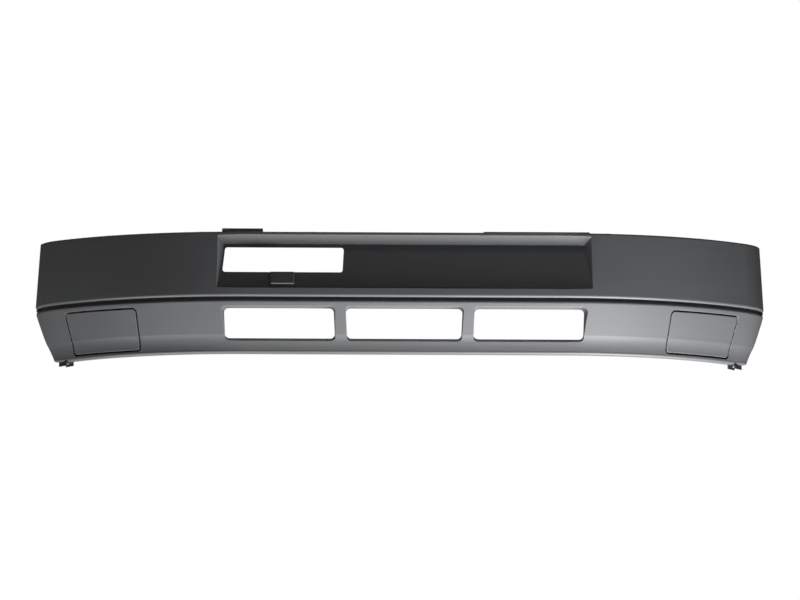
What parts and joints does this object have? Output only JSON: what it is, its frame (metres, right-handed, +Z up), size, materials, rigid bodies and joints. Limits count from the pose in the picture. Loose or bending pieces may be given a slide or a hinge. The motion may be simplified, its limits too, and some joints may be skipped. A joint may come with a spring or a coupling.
{
  "type": "front bumper cover",
  "caption": "Moulded front bumper cover of a light van, with a number plate recess, air openings, clip-in fog lamp blanking covers and steel mounting brackets behind.",
  "frame": {"origin": "middle of the bounding box, at its bottom, where the feet stand", "axes": "+X across the van to the viewer's right when facing the front, -Y is the way the front faces, +Z up"},
  "size_m": [1.978, 0.3447, 0.346],
  "materials": {
    "cover_plastic": "fine grained, as moulded",
    "cover_plate_plastic": "fine grained, as moulded",
    "coated_steel": "black electrophoretic coating, satin",
    "zinc_steel": "zinc plated, dull",
    "spring_steel": "phosphated, dark",
    "brass": "machined"
  },
  "bodies": {
    "cover": {"upper_cover": "cover_plastic", "lower_valance": "cover_plastic", "stiffener_rail": "coated_steel", "chassis_bracket_left": "coated_steel", "chassis_bracket_right": "coated_steel", "end_bracket_left": "coated_steel", "end_bracket_right": "coated_steel", "boss_inserts": "brass", "rail_bolts": "zinc_steel", "rail_washers": "zinc_steel", "bracket_bolts": "zinc_steel", "bracket_nuts": "zinc_steel", "seam_screws": "zinc_steel", "seam_spring_nuts": "spring_steel", "top_clip_nuts": "spring_steel", "end_bracket_screws": "zinc_steel", "end_bracket_nuts": "zinc_steel"},
    "lamp_cover_left": {"fog_cover_left": "cover_plate_plastic", "fog_cover_clips_left": "spring_steel"},
    "lamp_cover_right": {"fog_cover_right": "cover_plate_plastic", "fog_cover_clips_right": "spring_steel"}
  },
  "joints": [
    {"name": "fog_cover_right_pull", "type": "slide", "parent": "cover", "child": "lamp_cover_right", "axis": [0.5821, -0.8131, 0], "range_m": [0, 0.06]},
    {"name": "fog_cover_left_pull", "type": "slide", "parent": "cover", "child": "lamp_cover_left", "axis": [-0.5821, -0.8131, 0], "range_m": [0, 0.06]}
  ]
}
